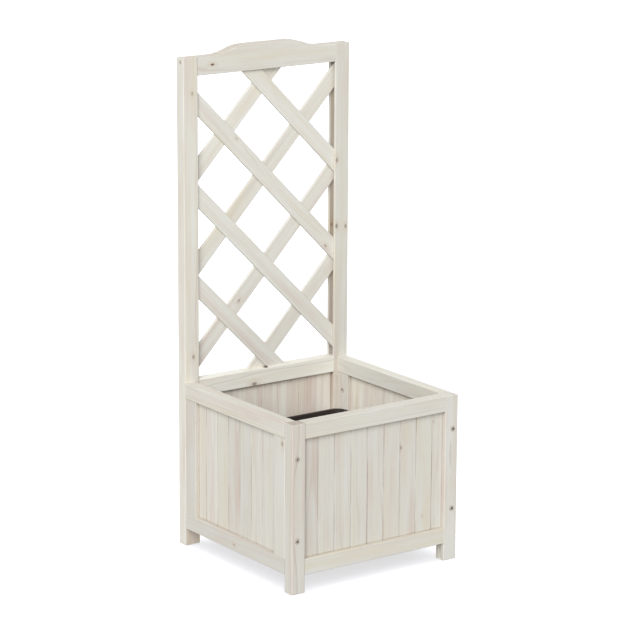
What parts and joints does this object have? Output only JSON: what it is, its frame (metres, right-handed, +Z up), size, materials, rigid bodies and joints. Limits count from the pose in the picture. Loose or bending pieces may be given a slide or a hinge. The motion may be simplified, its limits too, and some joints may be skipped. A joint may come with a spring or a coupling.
{
  "type": "planter with trellis",
  "caption": "Square softwood planter box of tongued and grooved planks on short feet, whose rear frame rises into a diagonal lattice trellis, with a lift-out plastic insert.",
  "frame": {"origin": "on the floor, under the middle of the planter", "axes": "+Z up, -Y towards the front of the box, +Y towards the trellis, +X to the right seen from the front"},
  "size_m": [0.4, 0.3994, 1.009],
  "materials": {
    "frame_wood": "whitewashed softwood, matte",
    "plank_wood": "whitewashed softwood, matte",
    "slat_wood": "whitewashed softwood, matte",
    "floor_wood": "sawn softwood, thinly whitewashed",
    "insert_plastic": "moulded, satin",
    "fixing_steel": "dull zinc plate"
  },
  "bodies": {
    "frame": {"barrel_nuts": "fixing_steel", "connector_bolts": "fixing_steel", "crest_rail": "frame_wood", "crest_screws": "fixing_steel", "floor_cleat_left": "floor_wood", "floor_cleat_right": "floor_wood", "floor_screws": "fixing_steel", "floor_slats": "floor_wood", "front_bottom_rail": "frame_wood", "front_leg_left": "frame_wood", "front_leg_right": "frame_wood", "front_plank_1": "plank_wood", "front_plank_2": "plank_wood", "front_plank_3": "plank_wood", "front_plank_4": "plank_wood", "front_plank_5": "plank_wood", "front_plank_6": "plank_wood", "front_plank_7": "plank_wood", "front_plank_8": "plank_wood", "front_plank_9": "plank_wood", "front_top_rail": "frame_wood", "left_bottom_rail": "frame_wood", "left_front_stile": "frame_wood", "left_plank_1": "plank_wood", "left_plank_2": "plank_wood", "left_plank_3": "plank_wood", "left_plank_4": "plank_wood", "left_plank_5": "plank_wood", "left_plank_6": "plank_wood", "left_plank_7": "plank_wood", "left_plank_8": "plank_wood", "left_rear_stile": "frame_wood", "left_top_rail": "frame_wood", "middle_rail": "frame_wood", "rear_bottom_rail": "frame_wood", "rear_planks": "plank_wood", "rear_stile_left": "frame_wood", "rear_stile_right": "frame_wood", "right_bottom_rail": "frame_wood", "right_front_stile": "frame_wood", "right_plank_1": "plank_wood", "right_plank_2": "plank_wood", "right_plank_3": "plank_wood", "right_plank_4": "plank_wood", "right_plank_5": "plank_wood", "right_plank_6": "plank_wood", "right_plank_7": "plank_wood", "right_plank_8": "plank_wood", "right_rear_stile": "frame_wood", "right_top_rail": "frame_wood", "trellis_slat_front_1": "slat_wood", "trellis_slat_front_2": "slat_wood", "trellis_slat_front_3": "slat_wood", "trellis_slat_front_4": "slat_wood", "trellis_slat_rear_1": "slat_wood", "trellis_slat_rear_2": "slat_wood", "trellis_slat_rear_3": "slat_wood", "trellis_slat_rear_4": "slat_wood"},
    "insert": {"plant_insert": "insert_plastic"}
  },
  "joints": [
    {"name": "insert_lift", "type": "slide", "parent": "frame", "child": "insert", "axis": [0, 0, 1], "range_m": [0, 0.3]}
  ]
}
